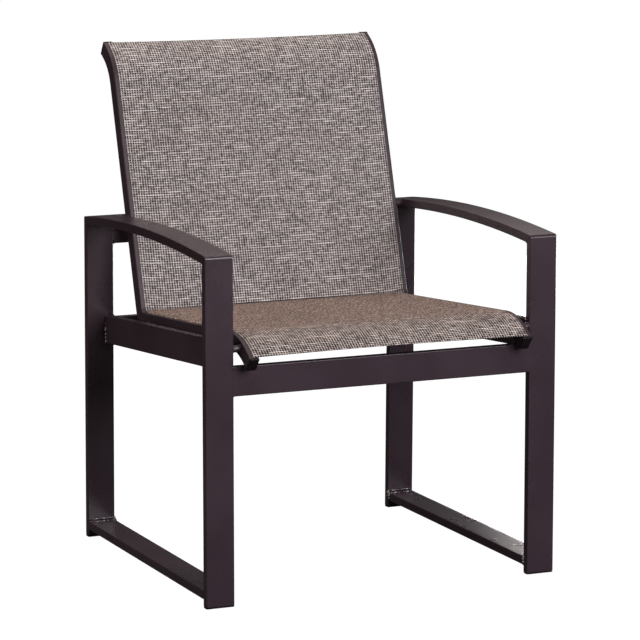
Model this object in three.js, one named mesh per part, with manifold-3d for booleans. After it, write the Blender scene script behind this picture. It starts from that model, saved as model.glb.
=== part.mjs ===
// A patio armchair: a stretched fabric sling in a welded frame of flat aluminium tube.
// Millimetres, with +X to the right as one faces the chair, +Y to its back and +Z up.
// Places are worked out from the front legs' front face, and the origin then goes under the chair's middle.
import * as THREE from "three";
import { mergeVertices } from "three/addons/utils/BufferGeometryUtils.js";
import Module from "manifold-3d";

const wasm = await Module();
wasm.setup();

const { degToRad } = THREE.MathUtils;

// Driving dimensions of the frame
const overallWidth = 645;
const legSpread = 584; // from the front legs' front face to the rear legs' rear face, at the floor
const tubeWidth = 50;
const tubeThickness = 15;
const tubeWall = 2;
const tubeCorner = 2.5;
const weldGap = 0.3; // left between pieces that are welded or pressed together
const armFrontHeight = 590.3;
const armRearHeight = 583.5;
const armRise = 13.7; // how far the arm bows above the line between its ends
const rearLegLean = degToRad(0.85);
const runnerHeight = 13.7; // from the floor to the runner's underside
const sideRailDrop = 11.2; // from the sling rails' slotted face down to the side rails' top, square to the seat
const frontCrossbarDrop = 41; // from the side rails' underside down to the crossbar's, at the front legs
const rearCrossbarDrop = 3.4; // the same at the rear legs

// Driving dimensions of the sling rails, along the middle of their slotted face
const railClearance = 13.5; // between the frame's inner faces and the sling rail
const backClearance = 39.2; // between the upper back crossbar and the sling rail in front of it
const frontOverhang = 35.2; // how far the rail's end stands out before the front legs
const seatFrontHeight = 454; // the slotted face's height where the flat seat begins
const seatSlope = degToRad(4.4);
const backLean = degToRad(17.1);
const cornerRadius = 10;
const curlRadius = 129;
const curlTurn = degToRad(43.4);
const curlTail = 3;
const backLength = 415.6; // from where the seat's and the back's lines cross to where the top roll starts
const rollRadius = 101.6;
const rollTurn = degToRad(41);
const rollTail = 13.8;
const railWidth = 17;
const railDepth = 27;
const railWall = 1.8;
const railCorner = 1.5;

// Driving dimensions of the channel in the rails, and of what it holds
const slotWidth = 3;
const channelRadius = 3.8;
const slidingGap = 0.3; // round the sling's pocket in the channel, and round the spline in the pocket
const pocketWall = 1;
const fabricThickness = 1.2;

// Driving dimensions of the plastic caps, the glides and the studs
const capThickness = 3.5;
const capOverlap = 0.25; // how far a cap's flange stands out past the rail on each side
const glideThickness = 2;
const glidePlugLength = 16;
const glidePlugGap = 0.4;
const studRadius = 6;
const seatStudSetback = 147; // from the rear legs' front face to the stud between side rail and sling rail

// How finely round stretches are cut
const cornerSteps = 3;
const smallCornerSteps = 2;
const channelSteps = 8;
const splineSides = 8;
const studSides = 20;
const bendSteps = 9;
const tightBendSteps = 5;
const armSteps = 14;

// Sizes that follow from those above
const innerHalfWidth = overallWidth / 2 - tubeWidth;
const legMiddle = innerHalfWidth + tubeWidth / 2;
const sideRailMiddle = innerHalfWidth + tubeThickness / 2;
const slingRailMiddle = innerHalfWidth - railClearance - railWidth / 2;
const boreCorner = tubeCorner - tubeWall / 2;
const overrun = tubeWidth; // how far a tube is made past the plane that it is cut to
const cutterSize = 4 * overallWidth;
const quarterTurn = Math.PI / 2;

// Materials
const bronzeCoat = new THREE.MeshStandardMaterial({ color: 0x3f353a, roughness: 0.45, metalness: 0.3 });
const slingWeave = new THREE.MeshStandardMaterial({ color: 0x968a84, roughness: 0.85, metalness: 0 });
const blackPlastic = new THREE.MeshStandardMaterial({ color: 0x1f1f22, roughness: 0.5, metalness: 0 });
const paleNylon = new THREE.MeshStandardMaterial({ color: 0xd8d6d0, roughness: 0.5, metalness: 0 });

const chair = new THREE.Group();

// The word in a piece's name for each side of the chair, and the sign of its X.
const sides = [
  ["left", -1],
  ["right", 1],
];

// Adds a named piece to the chair.
function addPiece(name, geometry, material) {
  const mesh = new THREE.Mesh(geometry, material);
  mesh.name = name;
  chair.add(mesh);
}

// A geometry as a solid that can be joined and cut.
function solidOf(geometry) {
  const bare = geometry.clone();
  bare.deleteAttribute("normal");
  bare.deleteAttribute("uv");
  const merged = mergeVertices(bare);
  const vertProperties = merged.attributes.position.array;
  const triVerts = new Uint32Array(merged.index.array);
  return new wasm.Manifold(new wasm.Mesh({ numProp: 3, vertProperties, triVerts }));
}

// A solid as a geometry that a mesh can show.
function geometryOf(solid) {
  const { vertProperties, triVerts } = solid.getMesh();
  const geometry = new THREE.BufferGeometry();
  geometry.setAttribute("position", new THREE.BufferAttribute(vertProperties, 3));
  geometry.setIndex(new THREE.BufferAttribute(triVerts, 1));
  geometry.computeVertexNormals();
  return geometry;
}

// What a flat cut through a point leaves of a solid: the side that the direction points to is taken off.
function cutBeyond(solid, point, direction) {
  const box = new THREE.BoxGeometry(cutterSize, cutterSize, cutterSize);
  box.translate(0, 0, cutterSize / 2);
  const turn = new THREE.Quaternion();
  turn.setFromUnitVectors(new THREE.Vector3(0, 0, 1), direction.clone().normalize());
  box.applyQuaternion(turn);
  box.translate(point.x, point.y, point.z);
  return solid.subtract(solidOf(box));
}

// The points of an arc, both ends among them.
function arcPoints(x, y, radius, from, to, steps) {
  const points = [];
  for (let i = 0; i <= steps; i++) {
    const angle = from + ((to - from) * i) / steps;
    points.push(new THREE.Vector2(x + radius * Math.cos(angle), y + radius * Math.sin(angle)));
  }
  return points;
}

// The outline of a rectangle with round corners, centred on the origin.
function roundedRectangle(width, depth, radius, steps) {
  const x = width / 2 - radius;
  const y = depth / 2 - radius;
  return [
    ...arcPoints(x, -y, radius, -quarterTurn, 0, steps),
    ...arcPoints(x, y, radius, 0, quarterTurn, steps),
    ...arcPoints(-x, y, radius, quarterTurn, 2 * quarterTurn, steps),
    ...arcPoints(-x, -y, radius, 2 * quarterTurn, 3 * quarterTurn, steps),
  ];
}

// The section of a flat tube: its width runs along the section's x, its thickness along y.
function tubeSection(width, thickness) {
  const section = new THREE.Shape(roundedRectangle(width, thickness, tubeCorner, cornerSteps));
  const bore = roundedRectangle(width - 2 * tubeWall, thickness - 2 * tubeWall, boreCorner, 1);
  section.holes.push(new THREE.Path(bore));
  return section;
}

// Extrudes a section from one point to another, with the section's x along the direction across.
function extrudeBetween(section, start, end, across, overshoot) {
  const along = end.clone().sub(start);
  const depth = along.length() + 2 * overshoot;
  const geometry = new THREE.ExtrudeGeometry(section, { depth, bevelEnabled: false });
  geometry.translate(0, 0, -overshoot);
  along.normalize();
  geometry.applyMatrix4(new THREE.Matrix4().makeBasis(across, along.clone().cross(across), along));
  geometry.translate(start.x, start.y, start.z);
  return geometry;
}

// A path in the side view, kept as the stations that a section is carried through.
class SidePath extends THREE.Curve {
  constructor(x, distance, height, heading) {
    super();
    this.x = x;
    this.distance = distance;
    this.height = height;
    this.heading = heading; // 0 runs straight back, a quarter turn runs straight up
    this.stations = [];
    this.keepStation();
  }

  keepStation() {
    const { distance, height, heading } = this;
    this.stations.push({ distance, height, heading });
  }

  ahead(length) {
    this.distance += length * Math.cos(this.heading);
    this.height += length * Math.sin(this.heading);
    this.keepStation();
  }

  // Turns along an arc: a positive angle bends the path upwards, towards the sitter.
  bend(angle, radius, steps) {
    const swing = Math.sign(angle) * radius;
    const centreDistance = this.distance - swing * Math.sin(this.heading);
    const centreHeight = this.height + swing * Math.cos(this.heading);
    for (let i = 0; i < steps; i++) {
      this.heading += angle / steps;
      this.distance = centreDistance + swing * Math.sin(this.heading);
      this.height = centreHeight - swing * Math.cos(this.heading);
      this.keepStation();
    }
  }

  stationAt(share) {
    return this.stations[Math.round(share * (this.stations.length - 1))];
  }

  getPointAt(share, target = new THREE.Vector3()) {
    const { distance, height } = this.stationAt(share);
    return target.set(this.x, distance, height);
  }

  getTangentAt(share, target = new THREE.Vector3()) {
    const { heading } = this.stationAt(share);
    return target.set(0, Math.cos(heading), Math.sin(heading));
  }
}

// Carries a section along a side path: the section's y points up from a level path, towards the sitter.
function extrudeAlong(section, path) {
  return new THREE.ExtrudeGeometry(section, { steps: path.stations.length - 1, extrudePath: path });
}

// The rear legs' lean: the directions up along them and square to them, and the middle of their thickness
const rearUp = new THREE.Vector3(0, -Math.sin(rearLegLean), Math.cos(rearLegLean));
const rearBack = new THREE.Vector3(0, Math.cos(rearLegLean), Math.sin(rearLegLean));

function rearLegMiddle(x, height) {
  const distance = legSpread - tubeThickness / 2 / Math.cos(rearLegLean) - height * Math.tan(rearLegLean);
  return new THREE.Vector3(x, distance, height);
}

// The bow of an arm: the arc of its top face between the corners over the front and the rear leg
const armRearCorner = legSpread - armRearHeight * Math.tan(rearLegLean);
const armChord = Math.hypot(armRearCorner, armFrontHeight - armRearHeight);
const armTopRadius = (armChord ** 2 / 4 + armRise ** 2) / (2 * armRise);
const armHalfAngle = Math.asin(armChord / 2 / armTopRadius);
const armMiddleHeading = Math.atan2(armRearHeight - armFrontHeight, armRearCorner);
const armFrontHeading = armMiddleHeading + armHalfAngle;
const armRearHeading = armMiddleHeading - armHalfAngle;
const armCentreDistance = armTopRadius * Math.sin(armFrontHeading);
const armCentreHeight = armFrontHeight - armTopRadius * Math.cos(armFrontHeading);
const armMiddleRadius = armTopRadius - tubeThickness / 2;

// The planes of the mitres that join an arm to its legs, as the directions square to them
const across = new THREE.Vector3(1, 0, 0);
const upright = new THREE.Vector3(0, 0, 1);
const forward = new THREE.Vector3(0, -1, 0);
const armStartDirection = new THREE.Vector3(0, Math.cos(armFrontHeading), Math.sin(armFrontHeading));
const armEndDirection = new THREE.Vector3(0, Math.cos(armRearHeading), Math.sin(armRearHeading));
const frontMitre = upright.clone().add(armStartDirection).normalize();
const rearMitre = armEndDirection.clone().sub(rearUp).normalize();

// Cuts a piece at a mitre, half the weld gap short of its plane.
function mitre(solid, corner, direction) {
  return cutBeyond(solid, corner.clone().addScaledVector(direction, -weldGap / 2), direction);
}

function makeLeg(foot, top, corner, mitreDirection) {
  const tube = extrudeBetween(tubeSection(tubeWidth, tubeThickness), foot, top, across, overrun);
  const footEnd = foot.clone().setZ(glideThickness + weldGap);
  const standing = cutBeyond(solidOf(tube), footEnd, upright.clone().negate());
  return geometryOf(mitre(standing, corner, mitreDirection));
}

function makeArm(x, frontCorner, rearCorner) {
  const distance = armCentreDistance - armMiddleRadius * Math.sin(armFrontHeading);
  const height = armCentreHeight + armMiddleRadius * Math.cos(armFrontHeading);
  const bow = new SidePath(
    x,
    distance - overrun * Math.cos(armFrontHeading),
    height - overrun * Math.sin(armFrontHeading),
    armFrontHeading,
  );
  bow.ahead(overrun);
  bow.bend(-2 * armHalfAngle, armMiddleRadius, armSteps);
  bow.ahead(overrun);
  const tube = solidOf(extrudeAlong(tubeSection(tubeWidth, tubeThickness), bow));
  const started = mitre(tube, frontCorner, frontMitre.clone().negate());
  return geometryOf(mitre(started, rearCorner, rearMitre));
}

for (const [side, sign] of sides) {
  const x = sign * legMiddle;
  const frontCorner = new THREE.Vector3(x, 0, armFrontHeight);
  const rearCorner = new THREE.Vector3(x, armRearCorner, armRearHeight);
  const frontFoot = new THREE.Vector3(x, tubeThickness / 2, 0);
  const frontTop = frontFoot.clone().setZ(armFrontHeight);
  const rearFoot = rearLegMiddle(x, 0);
  const rearTop = rearLegMiddle(x, armRearHeight);
  addPiece(`${side}_front_leg`, makeLeg(frontFoot, frontTop, frontCorner, frontMitre), bronzeCoat);
  const rearLeg = makeLeg(rearFoot, rearTop, rearCorner, rearMitre.clone().negate());
  addPiece(`${side}_rear_leg`, rearLeg, bronzeCoat);
  addPiece(`${side}_arm`, makeArm(x, frontCorner, rearCorner), bronzeCoat);
}

// The upper back crossbar's middle, flush with the rear legs and level with the arms' rear corners
const upperCrossbarMiddle = rearLegMiddle(0, armRearHeight - tubeWidth / 2);

// The side view of the sling rails: a curl at the seat's front, the flat seat, a tight bend, the flat back and
// a roll at its top. The seat is as long as the clearance before the upper back crossbar leaves it.
const backHeading = quarterTurn - backLean;
const curlHeading = curlTurn - seatSlope;
const seatStartDistance =
  curlTail * Math.cos(curlHeading) + curlRadius * (Math.sin(curlHeading) + Math.sin(seatSlope)) - frontOverhang;
const seatStart = new THREE.Vector3(0, seatStartDistance, seatFrontHeight);
const seatBack = new THREE.Vector3(0, Math.cos(seatSlope), -Math.sin(seatSlope));
const behindBack = new THREE.Vector3(0, Math.cos(backLean), -Math.sin(backLean));
const crossbarCorner = upperCrossbarMiddle
  .clone()
  .addScaledVector(rearUp, -tubeWidth / 2)
  .addScaledVector(rearBack, -tubeThickness / 2);
const roomBehindStart = crossbarCorner.clone().sub(seatStart).dot(behindBack);
const seatLength = (roomBehindStart - railDepth - backClearance) / seatBack.dot(behindBack);
const cornerTurn = backHeading + seatSlope;
const cornerTrim = cornerRadius * Math.tan(cornerTurn / 2);
const seatEnd = seatStart.clone().addScaledVector(seatBack, seatLength);

function slingPath(x) {
  const curlRise = curlRadius * (Math.cos(seatSlope) - Math.cos(curlHeading));
  const startHeight = seatFrontHeight - curlRise - curlTail * Math.sin(curlHeading);
  const path = new SidePath(x, -frontOverhang, startHeight, curlHeading);
  path.ahead(curlTail);
  path.bend(-curlTurn, curlRadius, bendSteps);
  path.ahead(seatLength - cornerTrim);
  path.bend(cornerTurn, cornerRadius, tightBendSteps);
  path.ahead(backLength - cornerTrim);
  path.bend(-rollTurn, rollRadius, bendSteps);
  path.ahead(rollTail);
  return path;
}

// The channel's middle lies this far below the rail's slotted face, and a chamber lies below the channel
const slotHalfAngle = Math.asin(slotWidth / 2 / channelRadius);
const channelDrop = railWall + channelRadius * Math.cos(slotHalfAngle);
const chamberDrop = channelDrop + channelRadius + railWall;
const chamberHalfWidth = railWidth / 2 - railWall;
const chamberFloor = railDepth - railWall;

// The section of a sling rail, with the middle of its slotted face at the origin.
function slingRailSection() {
  const x = railWidth / 2 - railCorner;
  const low = railCorner - railDepth;
  const channelStart = quarterTurn - slotHalfAngle;
  const channelEnd = slotHalfAngle - 3 * quarterTurn;
  const section = new THREE.Shape([
    new THREE.Vector2(slotWidth / 2, 0),
    ...arcPoints(0, -channelDrop, channelRadius, channelStart, channelEnd, channelSteps),
    new THREE.Vector2(-slotWidth / 2, 0),
    ...arcPoints(-x, -railCorner, railCorner, quarterTurn, 2 * quarterTurn, smallCornerSteps),
    ...arcPoints(-x, low, railCorner, 2 * quarterTurn, 3 * quarterTurn, smallCornerSteps),
    ...arcPoints(x, low, railCorner, 3 * quarterTurn, 4 * quarterTurn, smallCornerSteps),
    ...arcPoints(x, -railCorner, railCorner, 0, quarterTurn, smallCornerSteps),
  ]);
  const chamber = [
    new THREE.Vector2(chamberHalfWidth, -chamberDrop),
    new THREE.Vector2(-chamberHalfWidth, -chamberDrop),
    new THREE.Vector2(-chamberHalfWidth, -chamberFloor),
    new THREE.Vector2(chamberHalfWidth, -chamberFloor),
  ];
  section.holes.push(new THREE.Path(chamber));
  return section;
}

for (const [side, sign] of sides) {
  const rail = extrudeAlong(slingRailSection(), slingPath(sign * slingRailMiddle));
  addPiece(`${side}_sling_rail`, rail, bronzeCoat);
}

// The sling: one sheet whose sides turn down through the slots into pockets, each round a spline
const pocketRadius = channelRadius - slidingGap;
const pocketBore = pocketRadius - pocketWall;
const splineRadius = pocketBore - slidingGap;

function slingSection() {
  const top = slidingGap + fabricThickness;
  const neckHalfAngle = Math.asin(fabricThickness / 2 / pocketRadius);
  const pocketStart = quarterTurn + neckHalfAngle;
  const pocketEnd = 5 * quarterTurn - neckHalfAngle;
  const outer = slingRailMiddle + fabricThickness / 2;
  const shoulder = outer - fabricThickness / 2;
  const inner = outer - fabricThickness;
  const shoulderHeight = top - fabricThickness / 2;
  const section = new THREE.Shape([
    new THREE.Vector2(-shoulder, top),
    new THREE.Vector2(-outer, shoulderHeight),
    ...arcPoints(-slingRailMiddle, -channelDrop, pocketRadius, pocketStart, pocketEnd, channelSteps),
    new THREE.Vector2(-inner, slidingGap),
    new THREE.Vector2(inner, slidingGap),
    ...arcPoints(slingRailMiddle, -channelDrop, pocketRadius, pocketStart, pocketEnd, channelSteps),
    new THREE.Vector2(outer, shoulderHeight),
    new THREE.Vector2(shoulder, top),
  ]);
  for (const [, sign] of sides) {
    const bore = arcPoints(sign * slingRailMiddle, -channelDrop, pocketBore, 0, 4 * quarterTurn, channelSteps);
    section.holes.push(new THREE.Path(bore.slice(1)));
  }
  return section;
}

addPiece("sling_fabric", extrudeAlong(slingSection(), slingPath(0)), slingWeave);

for (const [side, sign] of sides) {
  const round = arcPoints(0, -channelDrop, splineRadius, 0, 4 * quarterTurn, splineSides);
  const rod = extrudeAlong(new THREE.Shape(round.slice(1)), slingPath(sign * slingRailMiddle));
  addPiece(`${side}_spline`, rod, paleNylon);
}

// A plastic cap for a rail's end: a flange that covers the end, and a plug up the chamber. The plug ends before
// the bend that follows the straight tail leaves its line by half the gap round it.
function makeCap(tail, bendRadius) {
  const width = railWidth + 2 * capOverlap;
  const height = railDepth + 2 * capOverlap;
  const outline = roundedRectangle(width, height, railCorner + capOverlap, cornerSteps);
  const flange = new THREE.ExtrudeGeometry(new THREE.Shape(outline), {
    depth: capThickness,
    bevelEnabled: false,
  });
  flange.translate(0, -railDepth / 2, weldGap);
  const plugLength = tail + Math.sqrt((bendRadius - railDepth) * weldGap);
  const plugWidth = 2 * (chamberHalfWidth - weldGap);
  const plugHeight = chamberFloor - chamberDrop - 2 * weldGap;
  const plug = new THREE.BoxGeometry(plugWidth, plugHeight, plugLength + 2 * weldGap);
  plug.translate(0, -(chamberFloor + chamberDrop) / 2, weldGap - plugLength / 2);
  return geometryOf(solidOf(flange).add(solidOf(plug)));
}

// Puts a cap on a rail's end, where its own z points out of the rail and its y to the slotted face.
function placeCap(cap, station, x, outward) {
  const { distance, height, heading } = station;
  const out = new THREE.Vector3(0, outward * Math.cos(heading), outward * Math.sin(heading));
  const face = new THREE.Vector3(0, -Math.sin(heading), Math.cos(heading));
  cap.applyMatrix4(new THREE.Matrix4().makeBasis(face.clone().cross(out), face, out));
  return cap.translate(x, distance, height);
}

for (const [side, sign] of sides) {
  const x = sign * slingRailMiddle;
  const { stations } = slingPath(x);
  const frontCap = placeCap(makeCap(curlTail, curlRadius), stations[0], x, -1);
  const topCap = placeCap(makeCap(rollTail, rollRadius), stations[stations.length - 1], x, 1);
  addPiece(`${side}_front_cap`, frontCap, blackPlastic);
  addPiece(`${side}_top_cap`, topCap, blackPlastic);
}

// Runners near the floor and side rails under the seat, each butted between a front and a rear leg
function makeTubeBetweenLegs(width, thickness, x, startHeight, slope) {
  const start = new THREE.Vector3(x, tubeThickness + weldGap, startHeight);
  const end = rearLegMiddle(x, startHeight - (legSpread - start.y) * Math.tan(slope));
  end.z = startHeight - (end.y - start.y) * Math.tan(slope);
  const tube = solidOf(extrudeBetween(tubeSection(width, thickness), start, end, across, overrun));
  const rearFace = end.clone().addScaledVector(rearBack, -tubeThickness / 2 - weldGap);
  return geometryOf(cutBeyond(cutBeyond(tube, start, forward), rearFace, rearBack));
}

// The side rails' underside, at a distance behind the front legs' front face.
function sideRailUnderside(distance) {
  const seatLine = seatFrontHeight - (distance - seatStartDistance) * Math.tan(seatSlope);
  return seatLine - (sideRailDrop + tubeWidth) / Math.cos(seatSlope);
}

const runnerMiddle = runnerHeight + tubeThickness / 2;
const sideRailMiddleHeight = sideRailUnderside(tubeThickness) + tubeWidth / 2 / Math.cos(seatSlope);
for (const [side, sign] of sides) {
  const runner = makeTubeBetweenLegs(tubeWidth, tubeThickness, sign * legMiddle, runnerMiddle, 0);
  addPiece(`${side}_runner`, runner, bronzeCoat);
  const railX = sign * sideRailMiddle;
  const rail = makeTubeBetweenLegs(tubeThickness, tubeWidth, railX, sideRailMiddleHeight, seatSlope);
  addPiece(`${side}_side_rail`, rail, bronzeCoat);
}

// Crossbars on edge between the two sides, flush with the legs that carry them
function makeCrossbar(middle, up) {
  const halfLength = innerHalfWidth - weldGap;
  const start = middle.clone().setX(-halfLength);
  const end = middle.clone().setX(halfLength);
  return extrudeBetween(tubeSection(tubeWidth, tubeThickness), start, end, up, 0);
}

const frontCrossbarHeight = sideRailUnderside(tubeThickness) - frontCrossbarDrop;
const frontCrossbarMiddle = new THREE.Vector3(0, tubeThickness / 2, frontCrossbarHeight + tubeWidth / 2);
addPiece("front_crossbar", makeCrossbar(frontCrossbarMiddle, upright), bronzeCoat);

const rearCrossbarHeight = sideRailUnderside(legSpread - tubeThickness) - rearCrossbarDrop;
const rearCrossbarMiddle = rearLegMiddle(0, rearCrossbarHeight + tubeWidth / 2);
addPiece("rear_crossbar", makeCrossbar(rearCrossbarMiddle, rearUp), bronzeCoat);
addPiece("upper_back_crossbar", makeCrossbar(upperCrossbarMiddle, rearUp), bronzeCoat);

// Studs that hold the sling rails off the front legs, the side rails and the arms
function addStuds(place, distance, height) {
  const length = railClearance - 2 * weldGap;
  for (const [side, sign] of sides) {
    const stud = new THREE.CylinderGeometry(studRadius, studRadius, length, studSides);
    stud.rotateZ(quarterTurn);
    stud.translate(sign * (innerHalfWidth - railClearance / 2), distance, height);
    addPiece(`${side}_${place}_stud`, stud, bronzeCoat);
  }
}

// At the front legs: the middle of the rail's depth along its curl, over the middle of the legs
const frontStudDistance = tubeThickness / 2;
const curlCentreDistance = seatStartDistance - curlRadius * Math.sin(seatSlope);
const curlCentreHeight = seatFrontHeight - curlRadius * Math.cos(seatSlope);
const curlOffset = frontStudDistance - curlCentreDistance;
const frontStudRise = Math.sqrt((curlRadius - railDepth / 2) ** 2 - curlOffset ** 2);
addStuds("front", frontStudDistance, curlCentreHeight + frontStudRise);

// At the side rails: halfway between the side rail's top and the sling rail's underside
const seatStudDistance = legSpread - tubeThickness - seatStudSetback;
const seatStudHeight =
  seatFrontHeight -
  (seatStudDistance - seatStartDistance) * Math.tan(seatSlope) -
  (sideRailDrop + railDepth) / 2 / Math.cos(seatSlope);
addStuds("seat", seatStudDistance, seatStudHeight);

// At the arms: where the middle of the rail's depth, a straight line up the back, crosses the arm's middle arc
const backUp = new THREE.Vector3(0, Math.cos(backHeading), Math.sin(backHeading));
const armCentre = new THREE.Vector3(0, armCentreDistance, armCentreHeight);
const fromCentre = seatEnd.clone().addScaledVector(behindBack, railDepth / 2).sub(armCentre);
const alongBack = fromCentre.dot(backUp);
const beforeArm = Math.sqrt(alongBack ** 2 - fromCentre.lengthSq() + armMiddleRadius ** 2) - alongBack;
const armStud = armCentre.clone().add(fromCentre).addScaledVector(backUp, beforeArm);
addStuds("arm", armStud.y, armStud.z);

// Glides in the feet: a flange under the leg's end and a plug up its bore
function makeGlide(foot, up) {
  const outline = roundedRectangle(tubeWidth, tubeThickness, tubeCorner, cornerSteps);
  const flange = new THREE.ExtrudeGeometry(new THREE.Shape(outline), {
    depth: glideThickness,
    bevelEnabled: false,
  });
  flange.translate(foot.x, foot.y, 0);
  const inset = 2 * (tubeWall + glidePlugGap);
  const plugOutline = roundedRectangle(tubeWidth - inset, tubeThickness - inset, boreCorner, 1);
  const start = foot.clone().addScaledVector(up, glideThickness / 2);
  const end = foot.clone().addScaledVector(up, glidePlugLength);
  const plug = extrudeBetween(new THREE.Shape(plugOutline), start, end, across, 0);
  return geometryOf(solidOf(flange).add(solidOf(plug)));
}

for (const [side, sign] of sides) {
  const x = sign * legMiddle;
  const frontFoot = new THREE.Vector3(x, tubeThickness / 2, 0);
  addPiece(`${side}_front_glide`, makeGlide(frontFoot, upright), blackPlastic);
  addPiece(`${side}_rear_glide`, makeGlide(rearLegMiddle(x, 0), rearUp), blackPlastic);
}

// The origin goes on the floor under the middle of the chair's outline
const outline = new THREE.Box3().setFromObject(chair);
chair.position.y = -(outline.min.y + outline.max.y) / 2;

export default chair;
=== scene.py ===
from math import asin, atan2, cos, hypot, pi, radians, sin, tan

import bmesh
import bpy
import numpy as np
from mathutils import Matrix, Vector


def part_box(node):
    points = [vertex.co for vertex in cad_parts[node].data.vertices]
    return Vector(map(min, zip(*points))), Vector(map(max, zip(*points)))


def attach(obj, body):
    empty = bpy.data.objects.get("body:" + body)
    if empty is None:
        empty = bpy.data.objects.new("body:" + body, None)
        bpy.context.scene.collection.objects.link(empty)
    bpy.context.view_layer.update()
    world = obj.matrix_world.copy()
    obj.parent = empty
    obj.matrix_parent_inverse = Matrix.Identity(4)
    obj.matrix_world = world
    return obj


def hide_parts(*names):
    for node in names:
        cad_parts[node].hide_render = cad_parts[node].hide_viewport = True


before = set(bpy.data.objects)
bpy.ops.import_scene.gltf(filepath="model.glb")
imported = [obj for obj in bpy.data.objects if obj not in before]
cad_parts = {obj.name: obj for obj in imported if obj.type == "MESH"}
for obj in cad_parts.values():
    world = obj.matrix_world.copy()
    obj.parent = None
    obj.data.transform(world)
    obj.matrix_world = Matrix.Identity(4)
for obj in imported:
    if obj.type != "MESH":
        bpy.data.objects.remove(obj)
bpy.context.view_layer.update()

# The bronze coat. The whole welded frame is dipped, baked and sprayed with one dark bronze powder, which sets
# with a faint orange peel, a tone that drifts a little from tube to tube, and paler wear along its edges.
coat_deep = (0.033, 0.0205, 0.0275, 1)
coat_pale = (0.041, 0.0265, 0.0345, 1)
coat_worn = (0.075, 0.058, 0.058, 1)
tone_scale = 7.0  # waves per metre, here and in the other scales
sheen_scale = 22.0
rub_scale = 90.0
rub_share = 0.55
worn_edge = (0.53, 0.60)  # the pointiness at which wear starts, and at which it is full
peel_scale = 520.0
peel_depth = 0.0002
peel_strength = 0.03


def add_node(tree, kind, inputs=(), **settings):
    """Adds a shader node with its settings, and gives each input a value, or a link where the value is a socket."""
    node = tree.nodes.new(kind)
    for name, value in settings.items():
        setattr(node, name, value)
    for socket, value in dict(inputs).items():
        if isinstance(value, bpy.types.NodeSocket):
            tree.links.new(value, node.inputs[socket])
        else:
            node.inputs[socket].default_value = value
    return node


def calculate(tree, operation, *values):
    """The result of a Math node on up to three values or sockets."""
    return add_node(tree, "ShaderNodeMath", enumerate(values), operation=operation).outputs[0]


def ramp(tree, value, low, high, start=0.0, end=1.0):
    """A smooth step of a value: start up to low, end from high on."""
    inputs = {"Value": value, "From Min": low, "From Max": high, "To Min": start, "To Max": end}
    return add_node(tree, "ShaderNodeMapRange", inputs, interpolation_type="SMOOTHSTEP").outputs[0]


def mix_colours(tree, share, first, second, blend="MIX"):
    """The first colour where the share is 0, the second, or its blend with the first, where it is 1, and no channel
    below 0 or above 1."""
    node = add_node(tree, "ShaderNodeMix", data_type="RGBA", blend_type=blend, clamp_result=True)
    for socket, value in zip((node.inputs[0], node.inputs[6], node.inputs[7]), (share, first, second)):
        if isinstance(value, bpy.types.NodeSocket):
            tree.links.new(value, socket)
        else:
            socket.default_value = value
    return node.outputs[2]


def noise(tree, place, scale, detail=2.0):
    """The value of a noise texture at a place."""
    return add_node(tree, "ShaderNodeTexNoise", {"Vector": place, "Scale": scale, "Detail": detail}).outputs[0]


def new_finish(name, **shine):
    """A material whose shader has its uniform values set on its own sockets: gives the material, its tree and its
    shader."""
    finish = bpy.data.materials.new(name)
    finish.use_nodes = True
    tree = finish.node_tree
    shader = tree.nodes["Principled BSDF"]
    for socket, value in shine.items():
        shader.inputs[socket.replace("_", " ")].default_value = value
    return finish, tree, shader


def coat(name, smooth, rough, index=1.5, shine=0.4):
    """The bronze powder coat, with its roughness drifting between two values."""
    finish, tree, shader = new_finish(name, IOR=index, Specular_IOR_Level=shine)
    place = add_node(tree, "ShaderNodeTexCoord").outputs["Object"]
    drift = ramp(tree, noise(tree, place, tone_scale), 0.35, 0.65)
    rub = calculate(tree, "MULTIPLY", noise(tree, place, rub_scale), rub_share)
    edge = ramp(tree, add_node(tree, "ShaderNodeNewGeometry").outputs["Pointiness"], *worn_edge)
    tone = mix_colours(tree, drift, coat_deep, coat_pale)
    worn = mix_colours(tree, calculate(tree, "MULTIPLY", edge, rub), tone, coat_worn)
    tree.links.new(worn, shader.inputs["Base Color"])
    sheen = ramp(tree, noise(tree, place, sheen_scale), 0.3, 0.7, smooth, rough)
    tree.links.new(sheen, shader.inputs["Roughness"])
    relief = {"Strength": peel_strength, "Distance": peel_depth, "Height": noise(tree, place, peel_scale, 1.0)}
    tree.links.new(add_node(tree, "ShaderNodeBump", relief).outputs[0], shader.inputs["Normal"])
    return finish


bronze_coat = coat("bronze_coat", smooth=0.27, rough=0.29)

# The legs: flat aluminium tube, 50 by 15 mm. Each is cut square at its foot and mitred under the arm, and the
# welded corner above it is ground round. The rear legs lean forward a little.
tube_width = 0.05
tube_thickness = 0.015
tube_corner = 0.0015
cut_ease = 0.0006  # how far the edges of a tube's cut end are rounded
close_rings = (0.0008, 0.0014, 0.0021, 0.0029, 0.0038, 0.0048, 0.006)  # how far they stand from a cut
leg_rows = 6
ground_radius = 0.005
weld_gap = 0.0003
arm_front_height = 0.5903
arm_rear_height = 0.5835
arm_rise = 0.0137
rear_lean = radians(0.85)
sides = {"left": -1, "right": 1}

leg_low, leg_high = (np.array(corner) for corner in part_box("right_front_leg"))
glide_low, glide_high = (np.array(corner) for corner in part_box("right_rear_glide"))
inner_x, outer_x = leg_low[0], leg_high[0]
leg_x = (inner_x + outer_x) / 2
front_face, leg_back, foot_height = leg_low[1], leg_high[1], leg_low[2]
rear_foot = (glide_low[1] + glide_high[1]) / 2


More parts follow.
